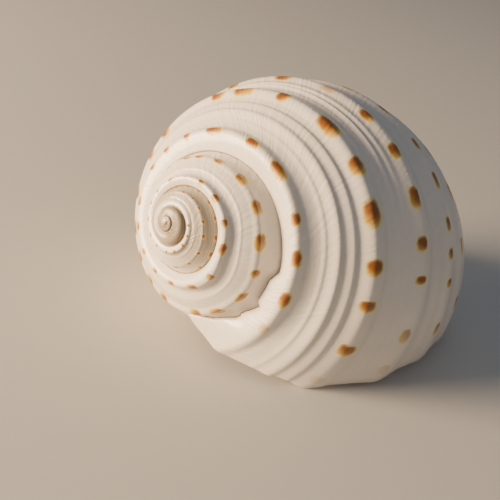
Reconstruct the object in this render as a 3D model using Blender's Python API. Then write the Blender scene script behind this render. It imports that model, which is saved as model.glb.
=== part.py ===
"""Spotted tun shell, a large thin sea snail shell, lying on its mouth.

The shell is one body. It is a tube wound around an axis that grows by a fixed rate
with the angle it has turned, so one curve describes every whorl: the whorl profile,
from the seam it shares with the whorl before (the suture) over the shoulder and the
spiral ribs to the front end. At the angle t, a profile point with radius r and height h
lies at radius r * exp(RADIUS_RATE * t) and height h * exp(HEIGHT_RATE * t) on the axis.

The solid is the outer form of all the whorls, less the hollow of the last whorl and a
half, which opens at the mouth. The shell frame has the axis along +Z from the apex to
the front end, with t running from +X to +Y. The world frame has +Z up, the origin under
the middle of the shell, and the apex towards -X and -Y.
"""

import math

import bmesh
import bpy
import numpy as np
from mathutils import Matrix, Vector

MM = 0.001
NAME = "tun_shell"

# Growth for each radian turned
RADIUS_RATE = 0.1183
HEIGHT_RATE = 0.1418

# Whorl profile at the angle zero: radius and height in mm, and the angle in degrees at
# which the growing edge, the lip, stands at that point. Points 1, 3, 4, 5 and on are
# the crests of the main ribs.
WHORL_PROFILE = (
    (17.4, 14.6, 97.0),
    (22.1, 13.0, 87.0),
    (28.5, 17.2, 70.0),
    (33.0, 23.4, 63.0),
    (37.8, 34.5, 50.0),
    (39.0, 45.4, 41.0),
    (37.6, 54.8, 37.0),
    (34.8, 62.8, 36.0),
    (30.4, 69.4, 37.0),
    (24.2, 74.0, 39.0),
    (16.0, 76.6, 39.0),
    (7.5, 77.0, 35.0),
)

# Rib crests as places on the profile, counted in its points. Whole numbers are the
# main ribs, the others the finer ones between the first two.
SPIRE_CRESTS = (1.0, 1.83, 2.28, 3.0)
BODY_CRESTS = (4.0, 5.0, 6.0, 7.0, 8.0)
BASE_COLUMNS = 4
GROOVE_DEPTH = 1.3
SUTURE_PLACE = 3.78
FRONT_PLACE = 11.0

# How finely the form is divided
STEPS_PER_TURN = 40
TURNS = 4.1
LIP_LEAD_STEPS = 5

# The pillar (columella) around the axis at the front: radius and height in mm at its
# root, where the last whorl's base leaves it first, and at the start of its domed end.
# Near its end it leans off the axis, by PILLAR_LEAN mm towards the angle PILLAR_SIDE.
PILLAR_ROOT = (17.0, 38.0)
PILLAR_TIP = (4.3, 80.4)
PILLAR_WAIST = 2.2
PILLAR_DOME = 3.2
PILLAR_DOME_ANGLES = (32.0, 64.0)
PILLAR_LEAN = 1.6
PILLAR_SIDE = 100.0
PILLAR_COLUMNS = 2

# The fasciole, the band of old siphon edges around the pillar, beside the base: how far
# the crest of its cord and the chink beyond it are from the base's edge, and how high
# the crest and how deep the chink is, in mm where the lip has reached
FASCIOLE_CREST = (4.2, 1.5)
FASCIOLE_CHINK = (9.6, -1.3)

# The hollow: its section at the angle zero
WALL = 1.1
GLAZE = 0.7
HOLLOW_TURNS = 1.55
HOLLOW_PAST_LIP = 27.0
HOLLOW_CORNER = (19.9, 16.6)
HOLLOW_SIDE = ((10.5, 73.6), (7.2, 67.5), (9.2, 55.0), (12.4, 45.0), (16.4, 34.0))

# How the shell lies: its axis dips to the front end, heads right of +Y, and is rolled
AXIS_DIP = 17.4
AXIS_HEADING = 39.0
ROLL = -23.9


def profile_point(place):
    """Radius, height and lip angle at a place on the whorl profile.

    A cubic curve through the profile's points, each leg of it leaving a point along
    the line between that point's two neighbours.
    """
    points = np.array(WHORL_PROFILE)
    leg = min(int(place), len(points) - 2)
    part = place - leg
    before = points[max(leg - 1, 0)]
    start, end = points[leg], points[leg + 1]
    after = points[min(leg + 2, len(points) - 1)]
    leave, arrive = (end - before) / 2, (after - start) / 2
    return (
        (2 * part ** 3 - 3 * part ** 2 + 1) * start
        + (part ** 3 - 2 * part ** 2 + part) * leave
        + (3 * part ** 2 - 2 * part ** 3) * end
        + (part ** 3 - part ** 2) * arrive
    )


def inward(place, distance):
    """The profile point moved into the whorl, square to the profile."""
    step = 0.02
    ahead = profile_point(min(place + step, FRONT_PLACE))
    behind = profile_point(max(place - step, 0.0))
    along = (ahead - behind)[:2]
    along = along / np.linalg.norm(along)
    point = profile_point(place)
    point[:2] += distance * np.array([-along[1], along[0]])
    return point


def ribbed_columns(crests, first, last):
    """Profile points from first to last: each crest, and a groove between two crests."""
    columns = []
    edges = (first, *crests, last)
    for low, high in zip(edges[:-1], edges[1:]):
        if low in crests:
            columns.append(profile_point(low))
        if low in crests or high in crests:
            sink = GROOVE_DEPTH * min(1.0, high - low)
            columns.append(inward((low + high) / 2, sink))
    return columns


def spiral_point(point, turned):
    """Shell-frame place of a profile point whose lip has still to turn by -turned degrees."""
    radius, height, lip = point
    angle = math.radians(turned + lip)
    grown_radius = radius * math.exp(RADIUS_RATE * angle)
    grown_height = height * math.exp(HEIGHT_RATE * angle)
    return (grown_radius * math.cos(angle), grown_radius * math.sin(angle), grown_height)


def pillar_radius(height):
    """Radius of the pillar: a cone with a slight waist."""
    part = (height - PILLAR_ROOT[1]) / (PILLAR_TIP[1] - PILLAR_ROOT[1])
    part = min(max(part, 0.0), 1.0)
    cone = PILLAR_ROOT[0] + (PILLAR_TIP[0] - PILLAR_ROOT[0]) * part
    return cone - PILLAR_WAIST * math.sin(math.pi * part)


def pillar_middle(height):
    """The pillar's middle at a height, as x and y."""
    part = min(max((height - 58.0) / 26.0, 0.0), 1.0)
    lean = PILLAR_LEAN * (3 - 2 * part) * part ** 2
    side = math.radians(PILLAR_SIDE)
    return lean * math.cos(side), lean * math.sin(side)


def pillar_columns(end, turned):
    """Points down the pillar from the end of the base: the fasciole, then its domed end."""
    middle = pillar_middle(end[2])
    angle = math.atan2(end[1] - middle[1], end[0] - middle[0])
    room = PILLAR_TIP[1] - end[2]
    scale = math.exp(HEIGHT_RATE * math.radians(turned))
    fade = min(max(room / 12.0, 0.0), 1.0)
    spots = []
    for (distance, swell), most in ((FASCIOLE_CREST, 0.25), (FASCIOLE_CHINK, 0.5)):
        height = end[2] + (min(distance * scale, most * room) if room > 0 else most * room)
        spots.append((pillar_radius(height) + swell * scale * fade, height))
    for height in np.linspace(spots[-1][1], PILLAR_TIP[1], PILLAR_COLUMNS + 2)[1:]:
        spots.append((pillar_radius(height), height))
    for rise in np.radians(PILLAR_DOME_ANGLES):
        spots.append((PILLAR_TIP[0] * math.cos(rise), PILLAR_TIP[1] + PILLAR_DOME * math.sin(rise)))
    columns = []
    for radius, height in spots:
        x, y = pillar_middle(height)
        columns.append((x + radius * math.cos(angle), y + radius * math.sin(angle), height))
    return columns


def base_end(turned):
    """The place on the profile where the whorl's base meets the pillar."""
    low, high = BODY_CRESTS[-1], FRONT_PLACE
    for _ in range(20):
        middle = (low + high) / 2
        x, y, height = spiral_point(profile_point(middle), turned)
        axis = pillar_middle(height)
        if math.hypot(x - axis[0], y - axis[1]) > pillar_radius(height):
            low = middle
        else:
            high = middle
    return low


def whorl_before(point, lead):
    """A profile point of the whorl before, in the measures of the whorl around it."""
    turn = 2 * math.pi
    radius, height, lip = point
    shrink = (math.exp(-RADIUS_RATE * turn), math.exp(-HEIGHT_RATE * turn))
    return np.array([radius * shrink[0], height * shrink[1], lip + lead])


def new_solid(name, points, faces, collection):
    """A mesh object in the collection from shell-frame points in mm."""
    mesh = bpy.data.meshes.new(name)
    mesh.from_pydata([Vector(point) * MM for point in points], [], faces)
    work = bmesh.new()
    work.from_mesh(mesh)
    bmesh.ops.recalc_face_normals(work, faces=work.faces)
    if work.calc_volume(signed=True) < 0:
        bmesh.ops.reverse_faces(work, faces=work.faces)
    work.to_mesh(mesh)
    work.free()
    solid = bpy.data.objects.new(name, mesh)
    collection.objects.link(solid)
    return solid


def bridge(left, right):
    """Triangles between two lines of points that start at one point and end at another."""
    faces = []
    i = j = 0
    while i < len(left) - 1 or j < len(right) - 1:
        step_left = (i + 1) * len(right) <= (j + 1) * len(left)
        if (step_left and i < len(left) - 1) or j == len(right) - 1:
            faces.append((left[i], left[i + 1], right[j]))
            i += 1
        else:
            faces.append((left[i], right[j + 1], right[j]))
            j += 1
    return [face for face in faces if len(set(face)) == 3]


def outer_form(collection):
    """The closed outer form of all the whorls, with a plain face where the mouth is."""
    step = 360 / STEPS_PER_TURN
    rows = int(TURNS * STEPS_PER_TURN)
    overlap = STEPS_PER_TURN - LIP_LEAD_STEPS
    spire = [profile_point(0.0)] + ribbed_columns(SPIRE_CRESTS, 0.0, SUTURE_PLACE)
    seam = profile_point(SUTURE_PLACE)
    body = [seam] + ribbed_columns(BODY_CRESTS, SUTURE_PLACE, BODY_CRESTS[-1])
    body.append(profile_point(BODY_CRESTS[-1]))
    points, index = [], {}

    def add(key, place):
        index[key] = len(points)
        points.append(place)

    for row in range(rows + 1):
        turned = (row - rows) * step
        for column, point in enumerate(spire):
            add((row, column), spiral_point(point, turned))
        if row < rows - overlap:
            continue
        for column, point in enumerate(body, start=len(spire)):
            if row > rows - overlap or column > len(spire):
                add((row, column), spiral_point(point, turned))
        column = len(spire) + len(body)
        for place in np.linspace(BODY_CRESTS[-1], base_end(turned), BASE_COLUMNS + 1)[1:]:
            end = spiral_point(profile_point(place), turned)
            add((row, column), end)
            column += 1
        for point in pillar_columns(end, turned):
            add((row, column), point)
            column += 1
        last = column - 1
    for row in range(rows - overlap + 1):
        index[(row, len(spire))] = index[(row + overlap, 0)]
    top = PILLAR_TIP[1] + PILLAR_DOME
    add("tip", (*pillar_middle(top), top))
    add("apex", (0.0, 0.0, 0.0))

    faces = []
    for row in range(rows):
        columns = last if row >= rows - overlap else len(spire)
        for column in range(columns):
            corners = ((row, column), (row, column + 1), (row + 1, column + 1), (row + 1, column))
            faces.append(tuple(index[corner] for corner in corners))
    for row in range(rows - overlap, rows):
        faces.append((index[(row, last)], index["tip"], index[(row + 1, last)]))
    for row in range(overlap):
        faces.append((index[(row, 0)], index[(row + 1, 0)], index["apex"]))
    for column in range(len(spire)):
        faces.append((index[(0, column)], index["apex"], index[(0, column + 1)]))
    lip = [index[(rows, column)] for column in range(last + 1)] + [index["tip"]]
    inner = [index[(rows - overlap, column)] for column in range(len(spire), last + 1)]
    faces += bridge(lip, inner + [index["tip"]])
    return new_solid(NAME, points, faces, collection)


def hollow_section():
    """The hollow's outline: down inside the outer wall, then back up the pillar."""
    lead = LIP_LEAD_STEPS * 360 / STEPS_PER_TURN
    outline = [np.array([*HOLLOW_CORNER, profile_point(0.3)[2]])]
    wall = WALL + GROOVE_DEPTH
    outer_places = (1.2, 2.0, 3.0, 3.5, 4.0, 4.5, 5.0, 5.5, 6.0, 7.0, 8.0, 9.0, 10.0)
    outline += [inward(place, wall) for place in outer_places]
    pillar_lip = profile_point(FRONT_PLACE)[2] + lead
    outline += [np.array([*spot, pillar_lip]) for spot in HOLLOW_SIDE]
    for place in (7.0, 6.0, 5.2):
        outline.append(whorl_before(inward(place, -2 * GLAZE), lead))
    return outline


def hollow_form(collection):
    """The hollow as one closed tube, from deep inside to past the mouth."""
    step = 360 / STEPS_PER_TURN
    section = hollow_section()
    count = len(section)
    start = -HOLLOW_TURNS * 360
    rows = int((HOLLOW_PAST_LIP - start) / step)
    points, faces = [], []
    for row in range(rows + 1):
        points += [spiral_point(point, HOLLOW_PAST_LIP - row * step) for point in section]
    for row in range(rows):
        for column in range(count):
            here, there = row * count, (row + 1) * count
            beside = (column + 1) % count
            faces.append((here + column, here + beside, there + beside, there + column))
    for row in (0, rows):
        ring = list(range(row * count, (row + 1) * count))
        middle = tuple(np.mean([points[corner] for corner in ring], axis=0))
        points.append(middle)
        for column in range(count):
            faces.append((ring[column], ring[(column + 1) % count], len(points) - 1))
    return new_solid("hollow_cutter", points, faces, collection)


def lying():
    """The turn from the shell frame to the way the shell lies."""
    upright = Matrix(((1, 0, 0, 0), (0, 0, 1, 0), (0, -1, 0, 0), (0, 0, 0, 1)))
    roll = Matrix.Rotation(math.radians(ROLL), 4, "Y")
    dip = Matrix.Rotation(math.radians(-AXIS_DIP), 4, "X")
    heading = Matrix.Rotation(math.radians(-AXIS_HEADING), 4, "Z")
    return heading @ dip @ roll @ upright


def shell_material():
    """Glossy cream shell, the lime glaze of a sea snail."""
    material = bpy.data.materials.new("glossy_shell")
    material.use_nodes = True
    shader = material.node_tree.nodes["Principled BSDF"]
    shader.inputs["Base Color"].default_value = (0.84, 0.74, 0.62, 1.0)
    shader.inputs["Roughness"].default_value = 0.28
    shader.inputs["Metallic"].default_value = 0.0
    return material


def new_collection(name):
    """A collection linked to the scene."""
    collection = bpy.data.collections.new(name)
    bpy.context.scene.collection.children.link(collection)
    return collection


def build():
    """Make the shell, cut its hollow and lay it down."""
    for old in list(bpy.data.objects):
        bpy.data.objects.remove(old, do_unlink=True)
    parts = new_collection("spotted_tun_shell")
    cutters = new_collection("cutters")
    shell = outer_form(parts)
    cutter = hollow_form(cutters)
    cutter.hide_render = True
    cutter.display_type = "WIRE"
    cut = shell.modifiers.new("hollow", "BOOLEAN")
    cut.operation = "DIFFERENCE"
    cut.solver = "EXACT"
    cut.object = cutter
    turn = lying()
    corners = np.array([turn @ vertex.co for vertex in shell.data.vertices])
    low, high = corners.min(axis=0), corners.max(axis=0)
    middle = Vector(((low[0] + high[0]) / 2, (low[1] + high[1]) / 2, low[2]))
    place = Matrix.Translation(-middle) @ turn
    shell.matrix_world = place
    cutter.matrix_world = place
    shell.data.materials.append(shell_material())
    shell.data.shade_smooth()
    shell.data.set_sharp_from_angle(angle=math.radians(35))


build()
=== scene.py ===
"""Looks of the spotted tun shell: its grown form in full detail, its spots and its gloss.

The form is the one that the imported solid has, worked out more finely. The shell is a
tube wound around an axis. A point of the whorl profile (radius r, height h, lip angle d)
lies, when the lip has still to turn by an angle -a, at the angle t = a + d around the
axis, at radius r * exp(RADIUS_RATE * t) and height h * exp(HEIGHT_RATE * t). A place on
the profile is counted in its points, so whole numbers are the crests of the main ribs.
"""

import math

import bpy
import numpy as np
from mathutils import Matrix, Vector


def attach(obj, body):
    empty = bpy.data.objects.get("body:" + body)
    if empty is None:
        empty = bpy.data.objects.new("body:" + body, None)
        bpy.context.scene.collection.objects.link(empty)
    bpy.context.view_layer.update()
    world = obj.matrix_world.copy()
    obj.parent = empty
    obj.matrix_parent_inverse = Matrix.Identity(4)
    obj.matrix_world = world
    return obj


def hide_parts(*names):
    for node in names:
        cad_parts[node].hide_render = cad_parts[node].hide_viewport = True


MM = 0.001
PART = "tun_shell"

# Growth for each radian turned, and what it gains in the first whorls, which end at an
# angle in degrees
RADIUS_RATE = 0.1183
HEIGHT_RATE = 0.1418
FIRST_RATE = 0.02
FIRST_END = -800.0

# Whorl profile at the angle zero: radius and height in mm, and the lip angle in degrees.
# The base begins and the front end stands at the places after it
WHORL_PROFILE = (
    (17.4, 14.6, 97.0),
    (22.1, 13.0, 87.0),
    (28.5, 17.2, 70.0),
    (33.0, 23.4, 63.0),
    (37.8, 34.5, 50.0),
    (39.0, 45.4, 41.0),
    (37.6, 54.8, 37.0),
    (34.8, 62.8, 36.0),
    (30.4, 69.4, 37.0),
    (24.2, 74.0, 39.0),
    (16.0, 76.6, 39.0),
    (7.5, 77.0, 35.0),
)
BASE = 7.0
FRONT = 11.0

# Stages, in degrees of growth before the finished lip, between which the smooth first whorls
# gain their ribs, and the early whorls' ribs turn into those of the last whorl
FIRST_TO_EARLY = (-1060.0, -760.0)
EARLY_TO_LAST = (-390.0, -320.0)

# Depth in mm of the surface below the crests, at places on the profile: the raised band
# at the suture with its steep outer edge, the main ribs and the troughs between them
RIBS = (
    (0.0, 0.0), (0.2, -0.5), (0.6, -0.5), (0.88, -0.47), (1.0, -0.32), (1.1, 0.1), (1.2, 0.86),
    (1.3, 1.37), (1.56, 1.68), (2.0, 1.3), (2.35, 1.28), (2.66, 1.1), (3.03, -0.25),
    (3.12, -0.02), (3.22, 0.35), (3.34, 1.15), (3.43, 1.25), (3.65, 1.0), (3.82, 0.56),
    (4.03, -0.28), (4.13, -0.12), (4.4, 0.95), (4.65, 0.8), (4.96, -0.15), (5.08, -0.05),
    (5.5, 1.1), (5.95, 0.0), (6.05, 0.0), (6.5, 1.1), (6.95, 0.0), (7.05, 0.0), (7.5, 1.0),
    (8.0, 0.0), (8.5, 0.8), (9.0, 0.0), (9.5, 0.5), (10.0, 0.0), (10.5, 0.2), (11.0, 0.0),
)
# The finer ribs that the last whorl grows, each with a steep outer side
FINE_RIBS = (
    (1.6, 0.0), (1.71, -0.14), (1.79, 0.08), (1.87, 0.0), (2.07, -0.42), (2.23, 0.1),
    (2.52, -0.37), (2.64, 0.08), (2.75, -0.06), (2.86, 0.0), (4.4, 0.0), (4.64, -0.25), (4.72, 0.0),
    (5.35, 0.0), (5.5, -0.25), (5.65, 0.0), (6.35, 0.0), (6.5, -0.25), (6.65, 0.0), (7.35, 0.0),
    (7.5, -0.25), (7.65, 0.0), (11.0, 0.0),
)
# The three threads between the second and third main ribs, which fade towards the lip
FADING_RIBS = (
    (3.34, 0.0), (3.38, 0.08), (3.45, -0.12), (3.5, 0.12), (3.58, -0.34),
    (3.65, 0.12), (3.73, -0.28), (3.8, 0.12), (3.88, 0.0), (11.0, 0.0),
)
# Depth on the early whorls, with a deep trough and one thread on its far side
EARLY_RIBS = (
    (0.0, 0.0), (0.3, -0.6), (0.85, -0.75), (1.03, -0.6), (1.12, -0.1), (1.3, 1.35), (1.54, 2.1),
    (1.72, 1.95), (1.93, 1.42), (2.03, 1.45), (2.25, 1.25), (2.6, 0.7), (2.85, -0.15), (2.96, -0.25),
    (3.1, 0.2), (3.25, 0.75), (3.42, 1.15), (3.6, 1.25), (4.0, 0.75), (4.2, 0.6), (4.5, 0.9),
    (5.0, 0.0), (5.5, 1.1), (6.0, 0.0), (6.5, 1.1), (7.0, 0.0), (11.0, 0.0),
)
# How many places nearer the suture the early whorls' first two ribs stand, at stages in
# degrees. Below 0 they stand farther from it
EARLY_DRIFT = (
    (-3000.0, 0.45), (-850.0, 0.45), (-795.0, 0.4), (-740.0, 0.12), (-690.0, 0.0), (-480.0, 0.0),
    (-440.0, -0.11), (-415.0, -0.06), (-395.0, -0.16), (-375.0, -0.25), (3000.0, -0.25),
)
# The stages between which the finer ribs grow in, faintly and then in full, and end their
# drift of some places from nearer the suture
FINE_FAINT = (-310.0, -200.0)
FINE_FULL = (-190.0, -10.0)
FAINT_SHARE = 0.3
FINE_SETTLED = (-140.0, -75.0)
FINE_DRIFT = 0.1
# The stages between which the fading ribs come and go, and the share of them that goes
FADING_COME = (-300.0, -130.0)
FADING_GO = (-85.0, -58.0)
FADING_LOST = 0.85
# The striae of the early whorls: stages at which they come and go, depth in mm, and
# radians of their wave in one place
STRIAE_COME = (-1060.0, -860.0)
STRIAE_GO = (-720.0, -560.0)
STRIAE_DEPTH = 0.09
STRIAE_WAVE = 36.0
# The stages over which the relief flattens to the lip and the share of it that is lost, the
# stage from which the lip's wave shows, and how much of the relief shows inside
LIP_FLAT = (-50.0, -2.0)
LIP_FLATTENING = 0.6
LIP_WAVE_FROM = -7.0
INNER_RELIEF = 0.85
# Height in mm of the arch between two sutures on the first whorls, at the angle zero
FIRST_ARCH = 7.0

# The seam where a whorl's upper edge sits on the whorl before: its usual place there, and
# its true course as angles around the axis in degrees, each with its place
SEAM = 3.78
SEAM_COURSE = (
    (-3000.0, 4.0), (-1250.0, 4.2), (-1113.0, 4.15), (-1058.0, 4.35), (-1003.0, 4.3),
    (-800.0, 4.15), (-620.0, 4.15), (-470.0, 3.8), (-430.0, 3.8), (-395.0, 3.9), (-368.0, 3.98),
    (-345.0, 4.08), (-334.0, 4.15), (-328.5, 4.17), (-325.0, 3.84), (-309.0, 3.84),
    (-304.5, 4.08), (-302.5, 3.97), (-295.5, 3.76), (-293.5, 3.84), (-288.5, 3.79),
    (-285.0, 3.6), (-277.0, 3.53), (-273.0, 3.4), (-262.0, 3.3), (-200.0, 3.78), (3000.0, 3.78),
)

# A suture point is grown this many degrees short of a turn after the seam point it sits on
LEAD = 45.0

# How finely the form is divided: rows of the outside, and rings of the hollow with their
# step in degrees
ROWS_PER_TURN = 120
TURNS = 5.2
INNER_STEP = 6.0
INNER_TURNS = 1.5
# The apex caps the first row at this share of its least height
APEX_CAP = 0.6
# Columns of the outside: where each leg of the profile ends, and the steps to it. Those
# below the seam count on from it, and the last are shared out down to the neck, where the
# crease is eased so many times
UPPER_LEGS = ((0.25, 5), (0.95, 6), (1.35, 9), (1.6, 4), (2.62, 30), (3.12, 10), (SEAM, 17))
LOWER_LEGS = ((1.3, 15), (BASE - SEAM, 26))
BASE_COLUMNS = 30
CREASE_EASING = 30

# The neck around the axis at the front: radius and height in mm at its root and tip, then
# how far its waist draws in, its end domes out and its tip leans to one side in degrees
NECK_ROOT = (17.0, 38.0)
NECK_TIP = (4.3, 80.4)
NECK_WAIST = 2.2
NECK_DOME = 3.2
NECK_LEAN = 1.6
NECK_SIDE = 100.0
NECK_COLUMNS = 26
# The point beside its tip that the lip's end bulges towards, in mm and degrees
TIP_REACH = 3.5
TIP_SIDE = 57.5
# The rings of its rounded end, in degrees up the quarter ellipse
NECK_RINGS = (22.0, 42.0, 58.0, 71.0, 82.0)
# The cord and the chink that wind down the neck: depth, middle below the base's edge and
# half width in mm, and the height of the cord's lamellae
CORD = (1.5, 4.2, 2.7)
CHINK = (1.3, 9.6, 2.2)
LAMELLAE = 0.12

# Wall and inner glaze in mm, the stage whose ribs show inside, and the place on the whorl
# before from which it is always covered
WALL = 1.25
GLAZE = 0.5
RIBBED = -60.0
COVERED = 4.3
# The lip's rounding stands out by this share of half its thickness and ends this many
# degrees behind its edge, and the hollow takes its deep section over this many more
LIP_BULGE = 0.8
LIP_DEPTH = 1.2
INTO_DEEP = 40.0
# The inside of the neck's edge: the edge drawn in towards the axis, and dropped by mm
NECK_DRAWN = (0.72, 0.72, 1.0)
NECK_DROP = 0.5
# The places at which the hollow's outer wall and its front wall end, its corner at the
# suture as a profile point, and the pillar's side as radius and height in mm
WALL_END = 8.0
FRONT_WALL_END = 10.0
HOLLOW_CORNER = (19.6, 16.4, 95.5)
PILLAR_SIDE = ((12.2, 75.2), (10.5, 73.2), (7.6, 67.5), (9.2, 55.0), (12.4, 45.0), (16.4, 34.0))

# How the shell lies: its axis dips to the front end, heads right of +Y, and is rolled
AXIS_DIP = 17.4
AXIS_HEADING = 39.0
ROLL = -23.9

# Where the apex stands, in mm
APEX_AT = (-29.849, -27.998, 30.965)

# The camera and what it looks at in mm, its roll in degrees, its sensor in mm, and its
# focal length in pixels of a square frame
EYE = (-15.09, -151.83, 106.085)
AIM = (-11.99, -6.34, 15.115)
CAMERA_ROLL = 12.27
SENSOR = 36.0
FRAME = 500
FOCAL_LENGTH = 756.6

# The stage: half the floor's side in metres, its colour, the sky, and the lamps, each with
# its place and size in mm, power in watts and colour
FLOOR_REACH = 1.5
FLOOR_COLOUR = "#CCC9C1"
SKY_COLOUR = "#E4EDFF"
SKY_STRENGTH = 0.195
LAMPS = (
    ("key", (-700.0, -200.0, 165.0), 360.0, 21.5, "#FFDFB8"),
    ("fill", (120.0, -500.0, 600.0), 600.0, 0.35, "#EEF0FA"),
)
LAMPS_AIM = (0.0, 0.0, 25.0)

# Colours of the shell: its cream and what that drifts to, the growth bands, the tan of the
# first whorls and the streaks in it, and the suture's brown dirt with painted shade in it
CREAM = "#F4EBDC"
CREAM_SHADE = "#EAE1D2"
BAND_BUFF = "#DCCBB4"
FIRST_TAN = "#A79A80"
FIRST_STREAK = "#8F7A57"
SEAM_DIRT_AND_SHADE = "#6E5235"
# Colours of a spot from its heart to its rim
SPOT_BROWN = "#925516"
SPOT_OCHRE = "#D2A344"
SPOT_YELLOW = "#F1E29C"
# Colours of the glaze: at the mouth, deep inside, and its bands
GLAZE_CREAM = "#F1E7DA"
GLAZE_TAN = "#D9BC97"
GLAZE_BAND = "#E5D2B8"
# Patterns, as features in a mm along the ribs, across them and in depth
SPOT_GRAIN = (0.8, 0.35, 1.0)
GLAZE_BANDS = (0.4, 0.03, 1.0)
# The same, each with the detail and the roughness of its noise
CREAM_DRIFT = ((0.07, 0.07, 1.0), 2.0, 0.5)
GROWTH_LINES = ((1.1, 0.05, 1.0), 4.0, 0.6)
GROWTH_BANDS = ((0.22, 0.02, 1.0), 3.0, 0.5)
SPIRAL_STRIAE = ((0.02, 1.5, 1.0), 3.0, 0.5)
# Index of refraction of shell
SHELL_IOR = 1.53

# Spots on each main rib, by its place: angle around the axis and length along the rib,
# both in degrees, and depth of colour from 0 to 1
RIB_SPOTS = {
    1.0: (
        (-465, 10, 0.52), (-441, 6, 0.19), (-417, 10, 0.6), (-390, 12, 0.6), (-362, 9, 0.6),
        (-336, 13, 0.71), (-305, 7, 0.45), (-280, 12, 0.56), (-255, 9, 0.8), (-232, 7, 0.6),
        (-210, 7, 0.6), (-187, 8, 0.8), (-167, 8, 0.8), (-139, 7, 0.75), (-122, 6, 0.75),
        (-103, 6, 0.8), (-82, 12.5, 0.6), (-54, 10, 0.95), (-32, 14, 0.58), (-5, 7.5, 0.85),
        (14, 9, 1), (35, 9, 0.87), (54, 6, 0.22),
    ),
    3.0: (
        (-456, 9, 0.6), (-443, 9, 0.64), (-423, 10, 0.52), (-398, 12, 0.52), (-374, 12, 0.71),
        (-350, 13, 0.56), (-328, 7, 0.68), (-308, 10, 0.75), (-286, 12, 0.68), (-268, 10, 0.64),
        (-238, 9, 0.85), (-222, 9, 0.8), (-205, 8, 0.8), (-187, 10, 0.85), (-167, 8, 0.85),
        (-145, 7.5, 0.8), (-131, 7.5, 0.8), (-97, 7.5, 0.85), (-84, 11, 0.55), (-65, 6, 0.95),
        (-42, 11, 0.76), (-24, 7.5, 0.62), (-7, 10, 0.8), (11, 6, 0.97), (24, 4.5, 0.82),
        (41, 5, 0.85), (57, 4.5, 0.12),
    ),
    4.0: (
        (-818, 9, 0.6), (-796, 8, 0.7), (-775, 8, 0.6), (-752, 9, 0.7), (-728, 8, 0.6),
        (-703, 9, 0.8), (-680, 9, 0.8), (-655, 8, 0.6), (-291, 6, 0.8), (-275, 5, 0.8),
        (-257, 7.5, 0.85), (-240, 6, 0.8), (-224, 7.5, 0.8), (-207, 6, 0.85), (-190, 7.5, 0.8),
        (-172, 6, 0.8), (-155, 7.5, 0.8), (-138, 6, 0.85), (-119, 9, 0.8), (-101, 6, 0.85),
        (-79, 7.5, 0.9), (-60, 6, 0.3), (-43, 6, 0.9), (-28, 6, 0.95), (-12, 7.5, 0.74),
        (2, 5, 0.97), (13, 3, 0.9), (31, 5, 0.35), (44, 4.5, 0.15),
    ),
    5.0: (
        (-113, 6, 0.8), (-96, 7.5, 0.8), (-78, 6, 0.8), (-62, 6, 0.85), (-47, 6, 0.85),
        (-31, 5, 0.85), (-18, 6, 0.8), (-4, 5, 0.85), (5, 4, 0.8), (14, 3, 0.5),
        (29, 4.5, 0.4),
    ),
}
# The youngest spot of a rib that has none above
FIRST_SPOT = (38.0, 3.5, 0.6)
# Behind those: how far apart the spots are, and the angle around the axis at which they end
SPOTS_BEHIND = {1.0: (24.0, -700.0), 3.0: (24.0, -790.0)}
USUAL_SPOTS_BEHIND = (16.5, -340.0)
# Centre and half width across each rib's spots, both as places on the profile
SPOT_ROWS = {
    1.0: (1.0, 0.235), 3.0: (3.0, 0.285), 4.0: (3.97, 0.165), 5.0: (4.97, 0.15),
    6.0: (5.98, 0.2), 7.0: (7.0, 0.22), 8.0: (8.0, 0.24), 9.0: (9.0, 0.26),
}
# How much of the lip's slant the spots keep
SPOT_SLANT = 0.3
# The stages between which the last whorl's short spots are broad across the rib
BROAD_SPOTS = (-370.0, -330.0, -200.0, -120.0)
# What a face corner far from any spot or seam holds
FAR = 9.0
# Degrees back from the mouth over which the glaze turns tan, and the angle of a sharp edge
TONE_DEPTH = 150.0
SHARP_EDGE = 50.0
# For the patterns' scale: the lip angle taken for every place in degrees, the radius at
# which the length along the ribs is true and the length down the neck, both in mm
USUAL_LIP = 60.0
WIDE_RADIUS = 33.0
NECK_LENGTH = 40.0


def linear(hex_colour):
    """A linear RGBA colour from an sRGB hex value."""
    parts = [int(hex_colour[i:i + 2], 16) / 255 for i in (1, 3, 5)]
    return (*[p / 12.92 if p <= 0.04045 else ((p + 0.055) / 1.055) ** 2.4 for p in parts], 1.0)


def smooth(low, high, value):
    """A smooth step: 0 below low, 1 above high, and 3x^2 - 2x^3 between."""
    part = np.clip((np.asarray(value, float) - low) / (high - low), 0.0, 1.0)
    return part * part * (3 - 2 * part)


def cubic(part, start, end, leave, arrive):
    """The cubic from start to end, part running 0 to 1, with a slope at each."""
    return (
        (2 * part ** 3 - 3 * part ** 2 + 1) * start
        + (part ** 3 - 2 * part ** 2 + part) * leave
        + (3 * part ** 2 - 2 * part ** 3) * end
        + (part ** 3 - part ** 2) * arrive
    )


def eased(knots, value):
    """The smooth curve through the knots, level at each high and low.

    The slope at a knot between is the harmonic mean of the slopes on its two sides.
    """
    at, level = np.array(knots, float).T
    width = np.diff(at)
    rise = np.diff(level) / width
    slope = np.zeros(len(at))
    runs_on = rise[:-1] * rise[1:] > 0
    before, after = rise[:-1][runs_on], rise[1:][runs_on]
    slope[1:-1][runs_on] = 2 * before * after / (before + after)
    value = np.clip(value, at[0], at[-1])
    leg = np.clip(np.searchsorted(at, value, side="right") - 1, 0, len(at) - 2)
    part = (value - at[leg]) / width[leg]
    start, end = level[leg], level[leg + 1]
    return cubic(part, start, end, slope[leg] * width[leg], slope[leg + 1] * width[leg])


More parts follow.
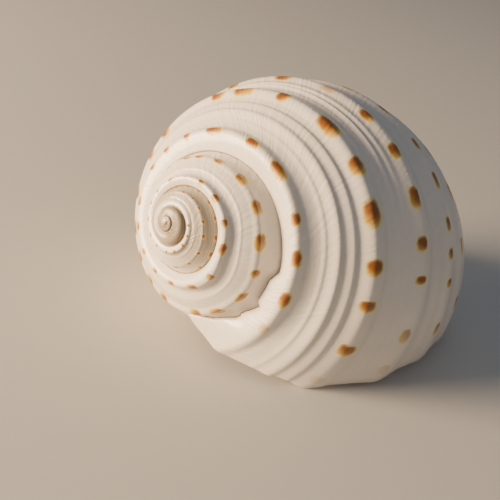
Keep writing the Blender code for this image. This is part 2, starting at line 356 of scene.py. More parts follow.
def profile(place):
    """Radius, height and lip angle at places on the whorl profile.

    A cubic leg between two points leaves each along the line between its neighbours.
    """
    place = np.asarray(place, float)
    points = np.array(WHORL_PROFILE)
    leg = np.clip(place.astype(int), 0, len(points) - 2)
    part = (place - leg)[..., None]
    start, end = points[leg], points[leg + 1]
    leave = (end - points[np.maximum(leg - 1, 0)]) / 2
    arrive = (points[np.minimum(leg + 2, len(points) - 1)] - start) / 2
    return cubic(part, start, end, leave, arrive)


def profile_normal(place):
    """Unit vector in the profile's plane, square to it and into the whorl."""
    ahead = profile(np.minimum(place + 0.02, FRONT))
    behind = profile(np.maximum(place - 0.02, 0.0))
    along = (ahead - behind)[..., :2]
    along = along / np.linalg.norm(along, axis=-1, keepdims=True)
    return np.stack([-along[..., 1], along[..., 0]], axis=-1)


def lengths_along(points):
    """Length of the line through points up to each of them, and its whole length."""
    steps = np.linalg.norm(np.diff(points, axis=0), axis=1)
    return np.concatenate([[0.0], np.cumsum(steps)]), steps.sum()


def arc_length(place):
    """Length in mm along the profile from the suture to the front end, at the angle zero."""
    fine = np.linspace(0.0, FRONT, 1101)
    lengths, _ = lengths_along(profile(fine)[:, :2])
    return np.interp(place, fine, lengths)


def early_place(place, turned):
    """The place among the early whorls' ribs: the place plus their drift, up to place 3.8."""
    early = 1 - smooth(*EARLY_TO_LAST, turned)
    return place + early * eased(EARLY_DRIFT, turned) * (1 - smooth(3.0, 3.8, place))


def rib_depth(place, turned):
    """Depth of the surface below the crests, in mm at the angle zero.

    The main ribs fade into the smooth first whorls. The finer ribs grow in over the
    last whorl, drifting towards the front, and the threads beside them fade again. The
    whorls in between carry close spiral striae. Towards the lip all of it flattens.
    """
    fine = FAINT_SHARE * smooth(*FINE_FAINT, turned) + (1 - FAINT_SHARE) * smooth(*FINE_FULL, turned)
    drift = FINE_DRIFT * (1 - smooth(*FINE_SETTLED, turned))
    fading = smooth(*FADING_COME, turned) * (1 - FADING_LOST * smooth(*FADING_GO, turned))
    late = smooth(*EARLY_TO_LAST, turned)
    main = smooth(*FIRST_TO_EARLY, turned)
    first = smooth(*STRIAE_COME, turned) * (1 - smooth(*STRIAE_GO, turned))
    striae = STRIAE_DEPTH * np.sin(STRIAE_WAVE * place)
    striae = striae * smooth(1.2, 1.6, place) * (1 - smooth(4.0, 5.0, place))
    depth = late * eased(RIBS, place) + (1 - late) * eased(EARLY_RIBS, early_place(place, turned))
    depth = main * depth + fine * eased(FINE_RIBS, place + drift) + first * striae
    depth += fading * eased(FADING_RIBS, place)
    flat = LIP_FLATTENING * smooth(*LIP_FLAT, turned) * (1 - smooth(BASE, 8.5, place))
    return depth * (1 - flat)


def around_axis(radius, angle, height):
    """Shell-frame places at a radius and height in mm, an angle in radians around the axis."""
    return np.stack([radius * np.cos(angle), radius * np.sin(angle), height], axis=-1)


def grown(point, turned):
    """Shell-frame places in mm of profile points, the formula at the head of this file."""
    angle = np.radians(turned + point[..., 2])
    early = np.exp(FIRST_RATE * np.minimum(angle - math.radians(FIRST_END), 0.0))
    radius = point[..., 0] * np.exp(RADIUS_RATE * angle) * early
    height = point[..., 1] * np.exp(HEIGHT_RATE * angle) * early
    return around_axis(radius, angle, height)


def carried(points, turned):
    """Shell-frame places moved back along the growth spiral by -turned degrees."""
    angle = np.radians(turned)
    x = points[..., 0] * np.cos(angle) - points[..., 1] * np.sin(angle)
    y = points[..., 0] * np.sin(angle) + points[..., 1] * np.cos(angle)
    shrink = np.exp(RADIUS_RATE * angle)
    return np.stack([x * shrink, y * shrink, points[..., 2] * np.exp(HEIGHT_RATE * angle)], axis=-1)


def rounded_first(point, place, turned):
    """The profile of the first whorls: an even arch from suture to suture.

    The arch stands FIRST_ARCH * (4 p (1 - p)) ^ 0.8 off the chord, where p is the share of
    the way along it, and gives way to the ribbed profile.
    """
    part = place / SEAM
    start, end = profile(0.0), profile(SEAM)
    chord = end[:2] - start[:2]
    length = np.linalg.norm(chord)
    out = np.array([chord[1], -chord[0]]) / length
    arch = FIRST_ARCH * np.clip(4 * part * (1 - part), 0, None) ** 0.8
    target = start[:2] + part[..., None] * chord + arch[..., None] * out
    weight = (1 - smooth(*FIRST_TO_EARLY, turned))[..., None]
    moved = point.copy()
    moved[..., :2] = point[..., :2] * (1 - weight) + target * weight
    return moved


def outside(place, turned):
    """Shell-frame places in mm of the outer surface: the profile, sunk by its ribs' depth."""
    point = rounded_first(profile(place), np.minimum(place, SEAM + 0.6), turned)
    depth = rib_depth(place, turned)
    point[..., :2] += depth[..., None] * profile_normal(place)
    return grown(point, turned + smooth(LIP_WAVE_FROM, 0, turned) * lip_wave(place))


def lip_wave(place):
    """How far ahead the lip stands, in degrees, and behind below 0.

    It is a cosine that crests at each main rib, plus a smaller and faster sine.
    """
    wave = 0.4 * np.cos(2 * np.pi * place) + 0.15 * np.sin(9.3 * place + 1.0) - 0.85
    return wave * smooth(0.2, 0.8, place) * (1 - smooth(9.5, 10.5, place))


def neck_radius(height):
    """Radius of the neck: a cone, drawn in by half a sine wave as its waist."""
    part = np.clip((height - NECK_ROOT[1]) / (NECK_TIP[1] - NECK_ROOT[1]), 0, 1)
    cone = NECK_ROOT[0] + (NECK_TIP[0] - NECK_ROOT[0]) * part
    return cone - NECK_WAIST * np.sin(np.pi * part)


def neck_middle(height):
    """The neck's middle, which leans off the axis to the pillar's side near its end."""
    lean = NECK_LEAN * smooth(58.0, 84.0, height)
    return around_axis(lean, math.radians(NECK_SIDE), 0 * lean)


def neck_angle(start):
    """Angle in radians of each point around the neck's middle, as a column."""
    off_axis = start - neck_middle(start[:, 2])
    return np.arctan2(off_axis[:, 1], off_axis[:, 0])[:, None]


def base_end(turned):
    """The place on the profile where the whorl's base meets the neck, by halving."""
    low = np.full(np.shape(turned), BASE)
    high = np.full(np.shape(turned), FRONT)
    for _ in range(24):
        middle = (low + high) / 2
        at = outside(middle, turned)
        off = at - neck_middle(at[..., 2])
        beyond = np.hypot(off[..., 0], off[..., 1]) > neck_radius(at[..., 2])
        low = np.where(beyond, middle, low)
        high = np.where(beyond, high, middle)
    return low


def neck(start, turned):
    """Columns of the neck from the base's edge to its rounded end.

    A band of old siphon edges, the fasciole, winds down it as a rounded cord with a chink
    beyond it. Each is a bell curve of the distance below the base's edge, divided by the
    shell's growth at that stage, and the lamellae on the cord are a sine of the stage.
    """
    part = np.linspace(0, 1, NECK_COLUMNS + 1)[None, 1:] ** 1.2
    height = start[:, 2:3] + (NECK_TIP[1] - start[:, 2:3]) * part
    scale = np.exp(HEIGHT_RATE * np.radians(turned))[:, None]
    off = (height - start[:, 2:3]) / scale
    lamellae = LAMELLAE * np.sin(np.radians(turned)[:, None] * 34.0 + 0.5 * off)
    cord = (CORD[0] + lamellae) * np.exp(-(((off - CORD[1]) / CORD[2]) ** 2))
    chink = CHINK[0] * np.exp(-(((off - CHINK[1]) / CHINK[2]) ** 2))
    ease = smooth(0, 0.04, part) * (1 - smooth(0.7, 0.97, part))
    radius = neck_radius(height) + (cord - chink) * scale * ease
    height = height + 0 * radius
    return around_axis(radius, neck_angle(start), height) + neck_middle(height)


def neck_end(start):
    """The neck's rounded end, a quarter of an ellipse from its last column to the middle."""
    angle = neck_angle(start)
    rise = np.radians(np.array([NECK_RINGS]))
    height = NECK_TIP[1] + NECK_DOME * np.sin(rise) + 0 * angle
    return around_axis(NECK_TIP[0] * np.cos(rise), angle, height) + neck_middle(height)


def spaced(*legs):
    """Places along the profile: for each leg, its end and how many steps lead to it."""
    places, start = [0.0], 0.0
    for end, count in legs:
        places += list(np.linspace(start, end, count + 1)[1:])
        start = end
    return np.array(places)


def outer_grid():
    """The outer surface, as rows of one growth stage each and columns along the profile.

    The upper columns run from the suture to the seam with the next whorl. The lower
    columns run on from there down the base and the neck, and only the last whorl has them.
    """
    step = 360 / ROWS_PER_TURN
    rows = int(round(TURNS * ROWS_PER_TURN))
    overlap = int(round((360 - LEAD) / step))
    turned = (np.arange(rows + 1) - rows) * step
    shift = eased(SEAM_COURSE, turned + profile(SEAM)[2]) - SEAM

    upper = spaced(*UPPER_LEGS)
    # The last columns follow the seam's true course
    upper_places = upper + shift[:, None] * smooth(3.0, SEAM, upper)
    upper_points = outside(upper_places, turned[:, None] + 0 * upper_places)
    # Each row's suture point sits on the seam of the whorl before
    gap = upper_points[:-overlap, -1] - upper_points[overlap:, 0]
    upper_points[overlap:] += (1 - smooth(0.0, 0.95, upper))[None, :, None] * gap[:, None, :]

    last = turned[rows - overlap:]
    lower = SEAM + spaced(*LOWER_LEGS)
    shares = np.linspace(0, 1, BASE_COLUMNS + 1)[None, 1:]
    tail = lower[-1] + (base_end(last) - lower[-1])[:, None] * shares
    lower_places = np.concatenate([np.tile(lower, (overlap + 1, 1)), tail], axis=1)
    ease = 1 - smooth(SEAM, SEAM + 0.9, lower_places)
    lower_places = lower_places + shift[rows - overlap:, None] * ease
    lower_points = outside(lower_places, last[:, None] + 0 * lower_places)
    crease = lower_places.shape[1] - 1
    down = neck(lower_points[:, -1], last)
    lower_points = np.concatenate([lower_points, down, neck_end(down[:, -1])], axis=1)
    # The crease where the base meets the neck is eased by averaging along the columns
    near = np.arange(crease - 5, crease + 6)
    for _ in range(CREASE_EASING):
        beside = lower_points[:, near - 1] + lower_points[:, near + 1]
        lower_points[:, near] = 0.5 * lower_points[:, near] + 0.25 * beside
    # Places count on down the neck, from the front end to one more
    down_neck = FRONT + np.linspace(0, 1, NECK_COLUMNS + len(NECK_RINGS) + 1)[1:]
    down_neck = np.tile(down_neck, (overlap + 1, 1))
    lower_places = np.concatenate([lower_places, down_neck], axis=1)
    lower_points[:, 0] = upper_points[rows - overlap:, -1]
    return turned, upper_points, upper_places, lower_points, lower_places


def inner_profile(place, wall, turned):
    """The profile point on the inside of the wall, with a stage's ribs showing through."""
    point = profile(place)
    depth = wall + INNER_RELIEF * rib_depth(place, turned + 0 * place)
    point[..., :2] += depth[..., None] * profile_normal(place)
    return point


def resampled(curve, parts):
    """Points at parts, from 0 to 1, of the length of a curve in the profile's plane."""
    lengths, whole = lengths_along(curve[:, :2])
    along = lengths / whole
    return np.stack([np.interp(parts, along, curve[:, axis]) for axis in range(3)], axis=-1)


def hollow_ring(lip_places, rear_places, edge):
    """The hollow's section deep inside, as profile points one for each point of the mouth.

    Down the outer wall's inside, around the front, up the pillar, and over the whorl
    before, whose profile is shrunk by one turn's growth. The front and the pillar share
    their points out as the mouth's edge does.
    """
    turn = 2 * math.pi
    shrink = np.array([math.exp(-RADIUS_RATE * turn), math.exp(-HEIGHT_RATE * turn), 1.0])
    corner = np.array(HOLLOW_CORNER)
    direct = lip_places[lip_places <= WALL_END]
    # The first points start a little below the suture, to leave the band its wall
    first = inner_profile(direct + 0.33 * (1 - smooth(0, 0.9, direct)), WALL, RIBBED)
    toward = (1 - smooth(0, 0.5, direct))[:, None]
    first = first * (1 - toward) + corner * toward
    behind = rear_places[rear_places <= BASE + 0.001]
    behind = np.interp(behind, [behind.min(), BASE], [COVERED, BASE])
    rear = inner_profile(behind, -GLAZE, RIBBED - 360) * shrink + np.array([0, 0, LEAD])
    toward = (1 - smooth(0, 0.5, behind - COVERED))[:, None]
    rear = rear * (1 - toward) + corner * toward
    front = inner_profile(np.linspace(WALL_END, FRONT_WALL_END, 9), WALL, RIBBED)
    pillar_lip = profile(FRONT)[2] + LEAD
    side = np.array([(*spot, pillar_lip) for spot in PILLAR_SIDE])
    side[0, 2] = (front[-1, 2] + pillar_lip) / 2
    curve = np.concatenate([front, side, rear[-1:]])
    lengths, whole = lengths_along(edge[len(first) - 1:len(edge) - len(rear) + 1])
    return np.concatenate([first, resampled(curve, lengths / whole)[1:-1], rear[::-1]])


def lip_inside(edge, lip_places):
    """The edge as it stands on the inside of the wall, and how thick the lip is at each point.

    The thickness is a share from 0 to 1: it fades in from the suture, is whole down the lip
    and fades out over the first points of the rear. On the neck the inside is the edge
    itself drawn in towards the axis, and a running mean over five points eases the corner.
    """
    full = len(lip_places)
    neck_from = full - 1 - len(NECK_RINGS) - NECK_COLUMNS
    thick = np.zeros(len(edge))
    thick[:full] = smooth(0.0, 0.5, lip_places)
    thick[full:full + 12] = 1 - smooth(0, 12, np.arange(12) + 1.0)
    inner = edge.copy()
    on_base = lip_places[:neck_from]
    inner[:neck_from] = grown(inner_profile(on_base, WALL, 0.0), lip_wave(on_base))
    inner[neck_from:] = edge[neck_from:] * np.array(NECK_DRAWN) - np.array([0.0, 0.0, NECK_DROP])
    inner = edge + thick[:, None] * (inner - edge)
    near = np.arange(neck_from - 4, neck_from + 4)
    inner[near] = sum(inner[near + step] for step in (-2, -1, 0, 1, 2)) / 5
    return inner, thick[:, None]


def way_ahead(edge, full):
    """The unit way in which the lip's rounding bulges, at each point of the mouth's edge.

    It runs along the growth spiral, and over the lip's last points it turns towards a point
    beside the neck's tip.
    """
    ahead = carried(edge, 0.5) - carried(edge, -0.5)
    ahead /= np.linalg.norm(ahead, axis=1, keepdims=True)
    toward = around_axis(TIP_REACH, math.radians(TIP_SIDE), NECK_TIP[1]) - edge
    toward /= np.linalg.norm(toward, axis=1, keepdims=True)
    at_end = smooth(full - 8, full - 1, np.arange(len(edge)))[:, None]
    return ahead * (1 - at_end) + toward * at_end


def hollow_rings(lip, lip_places, rear, rear_places):
    """The rounded lip, then the hollow's wall in rings that wind back from the mouth.

    The lip is half an ellipse from the edge to the inside of the wall. A ring keeps the
    mouth's own outline at first, carried back along the growth spiral, and turns smoothly
    into the deep section.
    """
    edge = np.concatenate([lip, rear])
    inner, thick = lip_inside(edge, lip_places)
    ahead = way_ahead(edge, len(lip))
    half = np.linalg.norm(inner - edge, axis=1, keepdims=True) / 2
    rings, stages = [], []
    for share in (0.2, 0.5, 0.8, 1.0):
        turn = math.pi * share
        round_lip = (edge + inner) / 2 + math.cos(turn) * (edge - inner) / 2
        round_lip += math.sin(turn) * half * LIP_BULGE * ahead
        plain = carried(edge, -LIP_DEPTH * share)
        rings.append(plain + thick * (round_lip - plain))
        stages.append(-LIP_DEPTH * share)
    start = inner + (1 - thick) * (carried(edge, -LIP_DEPTH) - edge)
    deep = hollow_ring(lip_places, rear_places[::-1], edge)
    back = -np.arange(1, int(INNER_TURNS * 360 / INNER_STEP) + 1) * INNER_STEP
    for stage in back:
        weight = smooth(0, INTO_DEEP, -stage)
        section = grown(deep, stage + 0 * deep[:, 2])
        rings.append(carried(start, stage) * (1 - weight) + section * weight)
        stages.append(stage)
    return rings, stages


def strip(ids, places, stages):
    """Quads between rows of point ids, with each corner's place and growth stage."""
    def corners(grid):
        grid = np.broadcast_to(grid, ids.shape)
        square = [grid[:-1, :-1], grid[1:, :-1], grid[1:, 1:], grid[:-1, 1:]]
        return np.stack(square, axis=-1).reshape(-1, 4)

    return corners(ids), corners(places), corners(stages)


def shell_mesh():
    """All points and faces of the shell, with each quad corner's place and stage.

    The quads of the outside come first and then the hollow's. The last triangles close
    the hollow's far end. Last come how many quads are outside, and how many triangles are
    in the hollow.
    """
    turned, upper, upper_places, lower, lower_places = outer_grid()
    rows, overlap = len(turned) - 1, len(lower) - 1
    columns = upper.shape[1]
    last = slice(rows - overlap, None)

    # The upper part's last column is the seam. It is the suture of the whorl after, but
    # the last whorl has points of its own there, which the lower part shares
    total = (rows + 1) * (columns - 1)
    upper_ids = np.arange(total).reshape(rows + 1, columns - 1)
    seam_ids = np.concatenate([upper_ids[overlap:, 0], total + np.arange(overlap)])
    upper_ids = np.concatenate([upper_ids, seam_ids[:, None]], axis=1)
    total += overlap
    lower_ids = np.arange(lower[:, 1:].size // 3).reshape(overlap + 1, -1) + total
    total += lower_ids.size
    lower_ids = np.concatenate([upper_ids[last, -1:], lower_ids], axis=1)
    pole, apex = total, total + 1
    total += 2
    top = NECK_TIP[1] + NECK_DOME
    points = [
        upper[:, :-1].reshape(-1, 3),
        upper[rows - overlap + 1:, -1],
        lower[:, 1:].reshape(-1, 3),
        [neck_middle(np.array(top)) + (0.0, 0.0, top), (0.0, 0.0, upper[0, :, 2].min() * APEX_CAP)],
    ]
    parts = [
        strip(upper_ids, upper_places, turned[:, None]),
        strip(lower_ids, lower_places, turned[last, None]),
    ]
    outer_quads = sum(len(part[0]) for part in parts)
    triangles = [(lower_ids[i, -1], lower_ids[i + 1, -1], pole) for i in range(overlap)]
    triangles += [(upper_ids[i, 0], apex, upper_ids[i + 1, 0]) for i in range(overlap)]
    triangles += [(upper_ids[0, i], upper_ids[0, i + 1], apex) for i in range(columns - 1)]

    # The mouth's edge runs down the lip, over the pole and back up the rear of the last whorl
    lip_ids = np.concatenate([upper_ids[rows, :-1], lower_ids[overlap], [pole]])
    lip_places = np.concatenate([upper_places[rows, :-1], lower_places[overlap], [FRONT + 1.05]])
    rear_ids, rear_places = lower_ids[0, :0:-1], lower_places[0, :0:-1]
    every = np.concatenate(points)
    rings, ring_stages = hollow_rings(every[lip_ids], lip_places, every[rear_ids], rear_places)
    edge_ids = np.concatenate([lip_ids, rear_ids])
    count = len(edge_ids)
    ring_ids = np.arange(len(rings) * count).reshape(-1, count) + total
    ids = np.concatenate([edge_ids[None], ring_ids])
    ids = np.concatenate([ids, ids[:, :1]], axis=1)
    around = np.concatenate([lip_places, rear_places, [rear_places[-1]]])
    depth = np.array([0.0, *ring_stages])
    parts.append(strip(ids, around[None, :], depth[:, None]))
    far_end = total + len(rings) * count
    points += [*rings, rings[-1].mean(axis=0)[None]]
    triangles += [(ids[-1, i], far_end, ids[-1, i + 1]) for i in range(count)]
    quads, places, stages = (np.concatenate(kind) for kind in zip(*parts))
    return np.concatenate(points), quads, triangles, places, stages, outer_quads, count


def spots_on(rib):
    """The spots of one rib: growth stage and half length in degrees, and depth of colour.

    Those listed are followed back along the rib by others, evenly spaced with a
    small seeded wander.
    """
    chance = np.random.default_rng(int(rib * 10))
    placed = list(RIB_SPOTS.get(rib, (FIRST_SPOT,)))
    spacing, end = SPOTS_BEHIND.get(rib, USUAL_SPOTS_BEHIND)
    at = placed[0][0]
    while at > end:
        at -= spacing * chance.uniform(0.85, 1.15)
        placed.append((at, spacing * chance.uniform(0.28, 0.42), chance.uniform(0.5, 0.8)))
    placed = np.array(sorted(placed))
    return placed[:, 0] - profile(rib)[2], placed[:, 1] / 2, placed[:, 2]


def spot_marks(places, stages):
    """For each face corner, where it stands in the frame of its rib's nearest spot.

    The first number runs along the rib and is -1 at the spot's older edge and 1 at its
    younger one. The second does the same across the rib, and the third is the depth of
    colour. A spot's width across the rib grows with its length, within limits, and the
    early whorls' spots are wider for their ribs.
    """
    centres = np.array([centre for centre, half in SPOT_ROWS.values()])
    among = early_place(places, stages)
    nearest = np.abs(among.mean(axis=1)[:, None] - centres).argmin(axis=1)
    along, across, depth = (np.zeros(places.shape) for _ in range(3))
    for index, (rib, (centre, half)) in enumerate(SPOT_ROWS.items()):
        chosen = nearest == index
        at, reach, dark = spots_on(rib)
        lip = profile(np.minimum(places[chosen], FRONT))[..., 2] - profile(rib)[2]
        stage = stages[chosen] + (1 - SPOT_SLANT) * lip
        between = (at[:-1] + at[1:]) / 2
        which = np.searchsorted(between, stage.mean(axis=1))[:, None]
        along[chosen] = (stage - at[which]) / reach[which]
        broad = smooth(*BROAD_SPOTS[:2], stage) - smooth(*BROAD_SPOTS[2:], stage)
        width = (0.45 + 0.055 * reach[which]).clip(0.68 + 0.47 * broad, 1.25)
        width *= 1.35 - 0.35 * smooth(*EARLY_TO_LAST, stage)
        across[chosen] = (among[chosen] - centre) / (half * width)
        depth[chosen] = dark[which]
    return along, across, depth


def age_tone(places, stages):
    """How tan the surface is, from 0 to 1.

    The first whorls are tan, save the white cord below the suture, and the very first
    more so. The base is a little tan at the neck.
    """
    early = 1 - smooth(-760, -640, stages)
    cord = smooth(0.05, 0.15, places) * (1 - smooth(0.9, 1.1, places))
    cord = cord * smooth(-1100, -1060, stages)
    first = 0.35 * (1 - smooth(-1090, -1000, stages))
    under = 0.25 * smooth(FRONT - 0.6, FRONT, places)
    return np.clip(early * (1 - 0.85 * cord) * (0.7 + first) + under, 0, 1)


def on_corners(mesh, values, rest):
    """Numbers for the quads' corners, and the rest for each corner of the triangles."""
    values = np.asarray(values, float).ravel()
    spare = np.full(len(mesh.loops) - values.size, rest)
    return np.concatenate([values, spare]).astype(np.float32)


def add_corner_values(mesh, name, values, rest):
    """A named number on each face corner."""
    layer = mesh.attributes.new(name, "FLOAT", "CORNER")
    layer.data.foreach_set("value", on_corners(mesh, values, rest))


def add_corner_frame(mesh, name, along, across, rest):
    """A named pair of numbers on each face corner."""
    layer = mesh.uv_layers.new(name=name)
    pair = [on_corners(mesh, values, rest) for values in (along, across)]
    layer.data.foreach_set("uv", np.stack(pair, axis=-1).ravel())


def lying():
    """The turn from the shell frame to the way the shell lies."""
    upright = Matrix(((1, 0, 0), (0, 0, 1), (0, -1, 0)))
    roll = Matrix.Rotation(math.radians(ROLL), 3, "Y")
    dip = Matrix.Rotation(math.radians(-AXIS_DIP), 3, "X")
    heading = Matrix.Rotation(math.radians(-AXIS_HEADING), 3, "Z")
    return np.array(heading @ dip @ roll @ upright)


def seam_distance(places, stages, size):
    """Distance in mm from the nearer suture, where size is the shell's growth so far.

    On the whorls that the next one covers in part, that is either the suture above or the
    seam below, along its true course.
    """
    down = arc_length(places)
    course = eased(SEAM_COURSE, stages + profile(SEAM)[2])
    below = np.abs(arc_length(course) - down) * size
    covered = stages < -(360 - LEAD)
    return np.where(covered, np.minimum(down * size, below), down * size)


def make_shell(outer_finish, inner_finish):
    """The shell as one closed mesh in its place, with what its finishes read.

    The frame growth_mm holds the length along the ribs, of the growth spiral at
    WIDE_RADIUS, and the length across them at the angle zero, both in mm.
    """
    points, quads, triangles, places, stages, outer_quads, closing = shell_mesh()
    world = (points @ lying().T + np.array(APEX_AT)) * MM
    mesh = bpy.data.meshes.new("spotted_tun")
    mesh.from_pydata(world.tolist(), [], quads.tolist() + [tuple(map(int, t)) for t in triangles])

    along, across, depth = spot_marks(places, stages)
    add_corner_values(mesh, "spot_depth", depth, 0.0)
    add_corner_frame(mesh, "spot_frame", along, across, FAR)
    size = np.exp(RADIUS_RATE * np.radians(stages + USUAL_LIP))
    add_corner_values(mesh, "seam_mm", seam_distance(places, stages, size), FAR)
    tone = age_tone(places, stages)
    # Inside, the tone deepens with the way back from the mouth
    tone[outer_quads:] = 1 - np.exp(stages[outer_quads:] / TONE_DEPTH)
    add_corner_values(mesh, "tan_tone", tone, 1.0)
    along = WIDE_RADIUS / RADIUS_RATE * size
    across = arc_length(places) + np.maximum(places - FRONT, 0) * NECK_LENGTH
    add_corner_frame(mesh, "growth_mm", along, across, 0.0)

    mesh.materials.append(outer_finish)
    mesh.materials.append(inner_finish)
    slots = np.zeros(len(mesh.polygons), np.int32)
    slots[outer_quads:len(quads)] = 1
    slots[-closing:] = 1
    mesh.polygons.foreach_set("material_index", slots)
    mesh.update()
    mesh.validate()
    mesh.shade_smooth()
    mesh.set_sharp_from_angle(angle=math.radians(SHARP_EDGE))
    shell = bpy.data.objects.new("shell", mesh)
    bpy.context.scene.collection.objects.link(shell)
    return shell


def new_material(name):
    """A material with an empty node tree, and the function that adds a node to it."""
    material = bpy.data.materials.new(name)
    material.use_nodes = True
    tree = material.node_tree
    tree.nodes.clear()

    def node(kind, settings, sockets, out=0):
        """Add a node with its settings; a socket gets a value or another node's output."""
        made = tree.nodes.new(kind)
        for setting, value in settings.items():
            setattr(made, setting, value)
        for key, value in sockets.items():
            if isinstance(value, bpy.types.NodeSocket):
                tree.links.new(value, made.inputs[key])
            else:
                made.inputs[key].default_value = value
        return made.outputs[out] if len(made.outputs) else None

    return material, node


MATH, BLEND, RANGE = "ShaderNodeMath", "ShaderNodeMix", "ShaderNodeMapRange"
VECTOR, NOISE, STRETCH = "ShaderNodeVectorMath", "ShaderNodeTexNoise", "ShaderNodeMapping"
READ, COORDINATES = "ShaderNodeAttribute", "ShaderNodeUVMap"
ADD = {"operation": "ADD"}
SUBTRACT = {"operation": "SUBTRACT"}
TIMES = {"operation": "MULTIPLY"}
TIMES_ADD = {"operation": "MULTIPLY_ADD"}
DOT = {"operation": "DOT_PRODUCT"}
POWER = {"operation": "POWER"}
TINT = {"data_type": "RGBA"}
EASE = {"interpolation_type": "SMOOTHSTEP"}
FLAT = {"noise_dimensions": "2D"}


def spot_nodes(node):
    """The spots' mask and colour, with soft edges frayed along the growth lines.

    A spot ends where the mean of along^2 + across^2 and the root of along^4 + across^4
    passes 1: between an ellipse and a box, warped by a fine noise. Its heart is brown, and
    lies towards its older and outer edge. Around that it is ochre, with a pale yellow rim.
    The nodes are added by their material's own function.
    """
    frame = node(COORDINATES, {"uv_map": "spot_frame"}, {})
    depth = node(READ, {"attribute_name": "spot_depth"}, {}, "Fac")
    growth = node(COORDINATES, {"uv_map": "growth_mm"}, {})
    grain = node(STRETCH, {}, {0: growth, 3: SPOT_GRAIN})
    grain = node(NOISE, FLAT, {"Vector": grain, "Scale": 1.0, "Detail": 3.0}, 1)
    grain = node(VECTOR, SUBTRACT, {0: grain, 1: (0.5, 0.5, 0.5)})
    grain = node(VECTOR, TIMES, {0: grain, 1: (0.5, 0.35, 0.0)})
    warped = node(VECTOR, ADD, {0: frame, 1: grain})
    oval = node(VECTOR, DOT, {0: warped, 1: warped}, 1)
    square = node(VECTOR, TIMES, {0: warped, 1: warped})
    square = node(VECTOR, DOT, {0: square, 1: square}, 1)
    square = node(MATH, POWER, {0: square, 1: 0.5})
    square = node(MATH, TIMES, {0: square, 1: 0.5})
    reach = node(MATH, TIMES_ADD, {0: oval, 1: 0.5, 2: square})
    mask = node(RANGE, EASE, {0: reach, 1: 1.65, 2: 0.7, 3: 0.0, 4: 1.0})
    strength = node(RANGE, {}, {0: depth, 1: 0.0, 2: 0.5, 3: 0.0, 4: 1.0})
    mask = node(MATH, TIMES, {0: mask, 1: strength})
    younger = node(VECTOR, DOT, {0: warped, 1: (1.0, -0.45, 0.0)}, 1)
    inward = node(MATH, TIMES_ADD, {0: reach, 1: 0.7, 2: younger})
    inward = node(MATH, SUBTRACT, {0: inward, 1: depth})
    dark = node(RANGE, EASE, {0: inward, 1: 0.6, 2: -1.0, 3: 0.0, 4: 1.0})
    colour = node(BLEND, TINT, {0: dark, 6: linear(SPOT_OCHRE), 7: linear(SPOT_BROWN)}, 2)
    rim = node(RANGE, EASE, {0: reach, 1: 0.35, 2: 1.2, 3: 0.0, 4: 0.95})
    colour = node(BLEND, TINT, {0: rim, 6: colour, 7: linear(SPOT_YELLOW)}, 2)
    return mask, colour


def grown_aragonite():
    """Outside: aragonite grown in layers, as glossy as porcelain, cream white.

    Growth lines about a millimetre apart run along the lip's line and finer spiral striae
    along the ribs, both as a faint relief. The first whorls are tan with browner streaks
    along the striae, and the suture is darkened by brown dirt and by painted shade.
    """
    material, node = new_material("grown_aragonite_spotted")
    growth = node(COORDINATES, {"uv_map": "growth_mm"}, {})
    tan_tone = node(READ, {"attribute_name": "tan_tone"}, {}, "Fac")
    seam = node(READ, {"attribute_name": "seam_mm"}, {}, "Fac")
    noises = []
    for scale, detail, roughness in (CREAM_DRIFT, GROWTH_LINES, GROWTH_BANDS, SPIRAL_STRIAE):
        at = node(STRETCH, {}, {0: growth, 3: scale})
        noise = {"Vector": at, "Scale": 1.0, "Detail": detail, "Roughness": roughness}
        noises.append(node(NOISE, FLAT, noise))
    drift, lines, bands, striae = noises

    body = node(BLEND, TINT, {0: drift, 6: linear(CREAM), 7: linear(CREAM_SHADE)}, 2)
    some = node(MATH, TIMES, {0: bands, 1: 0.25})
    body = node(BLEND, TINT, {0: some, 6: body, 7: linear(BAND_BUFF)}, 2)
    body = node(BLEND, TINT, {0: tan_tone, 6: body, 7: linear(FIRST_TAN)}, 2)
    streak = node(RANGE, EASE, {0: striae, 1: 0.42, 2: 0.6, 3: 0.0, 4: 0.7})
    streak = node(MATH, TIMES, {0: streak, 1: tan_tone})
    body = node(BLEND, TINT, {0: streak, 6: body, 7: linear(FIRST_STREAK)}, 2)
    mask, spot = spot_nodes(node)
    colour = node(BLEND, TINT, {0: mask, 6: body, 7: spot}, 2)
    # The suture is darkened by brown dirt and by painted shade in its crease, frayed by the growth
    # lines
    ragged = node(MATH, TIMES_ADD, {0: lines, 1: -0.4, 2: seam})
    dirt_and_shade = node(RANGE, {}, {0: ragged, 1: 0.06, 2: -0.16, 3: 0.0, 4: 0.85})
    colour = node(BLEND, TINT, {0: dirt_and_shade, 6: colour, 7: linear(SEAM_DIRT_AND_SHADE)}, 2)

    relief = node(MATH, TIMES, {0: striae, 1: 0.12})
    relief = node(MATH, ADD, {0: relief, 1: lines})
    relief = node("ShaderNodeBump", {}, {"Strength": 0.5, "Distance": 0.0003, "Height": relief})
    gloss = node(RANGE, {}, {0: bands, 1: 0.3, 2: 0.7, 3: 0.3, 4: 0.4})
    surface = node("ShaderNodeBsdfPrincipled", {}, {
        "Base Color": colour, "Roughness": gloss, "Normal": relief, "IOR": SHELL_IOR,
        "Coat Weight": 0.35, "Coat Roughness": 0.12,
    })
    node("ShaderNodeOutputMaterial", {}, {"Surface": surface})
    return material


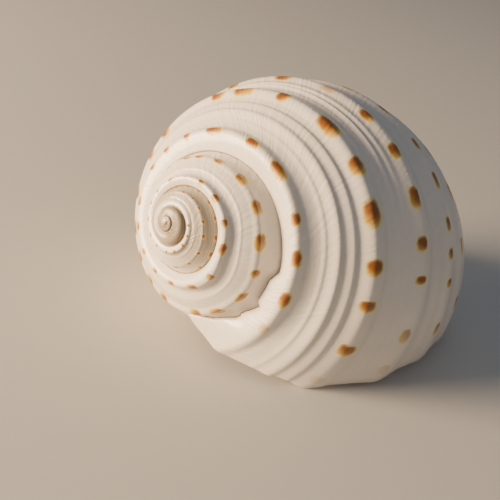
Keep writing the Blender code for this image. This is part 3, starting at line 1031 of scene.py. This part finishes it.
def inner_glaze():
    """Inside: smooth shell glaze laid down by the mantle, warmer and tanner with depth.

    The spots outside show through it faintly.
    """
    material, node = new_material("aragonite_inner_glaze")
    growth = node(COORDINATES, {"uv_map": "growth_mm"}, {})
    deep = node(READ, {"attribute_name": "tan_tone"}, {}, "Fac")
    bands = node(STRETCH, {}, {0: growth, 3: GLAZE_BANDS})
    bands = node(NOISE, FLAT, {"Vector": bands, "Scale": 1.0})
    tone = node(BLEND, TINT, {0: deep, 6: linear(GLAZE_CREAM), 7: linear(GLAZE_TAN)}, 2)
    soft = node(RANGE, {}, {0: bands, 1: 0.3, 2: 0.7, 3: 0.0, 4: 0.3})
    tone = node(BLEND, TINT, {0: soft, 6: tone, 7: linear(GLAZE_BAND)}, 2)
    mask, spot = spot_nodes(node)
    through = node(MATH, TIMES, {0: mask, 1: 0.22})
    tone = node(BLEND, TINT, {0: through, 6: tone, 7: spot}, 2)
    relief = node("ShaderNodeBump", {}, {"Strength": 0.2, "Distance": 0.0002, "Height": bands})
    surface = node("ShaderNodeBsdfPrincipled", {}, {
        "Base Color": tone, "Roughness": 0.22, "Normal": relief, "IOR": SHELL_IOR,
        "Coat Weight": 0.4, "Coat Roughness": 0.1,
    })
    node("ShaderNodeOutputMaterial", {}, {"Surface": surface})
    return material


def plain_floor():
    """A wide pale floor under the shell, matt paint."""
    mesh = bpy.data.meshes.new("floor")
    corners = [(FLOOR_REACH * x, FLOOR_REACH * y, 0) for x, y in ((-1, -1), (1, -1), (1, 1), (-1, 1))]
    mesh.from_pydata(corners, [], [(0, 1, 2, 3)])
    floor = bpy.data.objects.new("floor", mesh)
    bpy.context.scene.collection.objects.link(floor)
    material, node = new_material("matt_painted_floor")
    paint = {"Base Color": linear(FLOOR_COLOUR), "Roughness": 0.9}
    surface = node("ShaderNodeBsdfPrincipled", {}, paint)
    node("ShaderNodeOutputMaterial", {}, {"Surface": surface})
    mesh.materials.append(material)


def stand(thing, place, aim, roll=0.0):
    """Add a lamp or camera at a place in mm, looking at another, turned by roll degrees."""
    look = Vector(aim) - Vector(place)
    turn = look.to_track_quat("-Z", "Y").to_matrix() @ Matrix.Rotation(math.radians(roll), 3, "Z")
    thing.matrix_world = Matrix.Translation(Vector(place) * MM) @ turn.to_4x4()
    bpy.context.scene.collection.objects.link(thing)


def soft_lamps():
    """The studio light: soft round lamps and an even sky."""
    for name, place, size, power, colour in LAMPS:
        lamp = bpy.data.lights.new(name, "AREA")
        lamp.shape = "DISK"
        lamp.size = size * MM
        lamp.energy = power
        lamp.color = linear(colour)[:3]
        stand(bpy.data.objects.new(name, lamp), place, LAMPS_AIM)
    world = bpy.data.worlds.new("studio")
    world.use_nodes = True
    sky = world.node_tree.nodes["Background"]
    sky.inputs["Color"].default_value = linear(SKY_COLOUR)
    sky.inputs["Strength"].default_value = SKY_STRENGTH
    bpy.context.scene.world = world


def camera():
    """The photograph's viewing angle, as the shell's own spiral gives it."""
    lens = bpy.data.cameras.new("camera")
    lens.sensor_width = SENSOR
    lens.lens = SENSOR * FOCAL_LENGTH / FRAME
    lens.clip_start = 0.01
    view = bpy.data.objects.new("camera", lens)
    stand(view, EYE, AIM, CAMERA_ROLL)
    bpy.context.scene.camera = view


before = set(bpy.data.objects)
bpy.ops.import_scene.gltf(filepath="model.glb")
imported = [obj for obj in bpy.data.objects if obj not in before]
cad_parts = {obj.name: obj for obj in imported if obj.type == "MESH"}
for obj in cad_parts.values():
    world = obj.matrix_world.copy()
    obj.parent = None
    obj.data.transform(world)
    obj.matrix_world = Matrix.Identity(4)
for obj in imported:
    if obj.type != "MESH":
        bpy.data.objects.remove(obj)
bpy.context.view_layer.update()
camera()
soft_lamps()
plain_floor()
shell = make_shell(grown_aragonite(), inner_glaze())
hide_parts(PART)
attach(shell, "root")
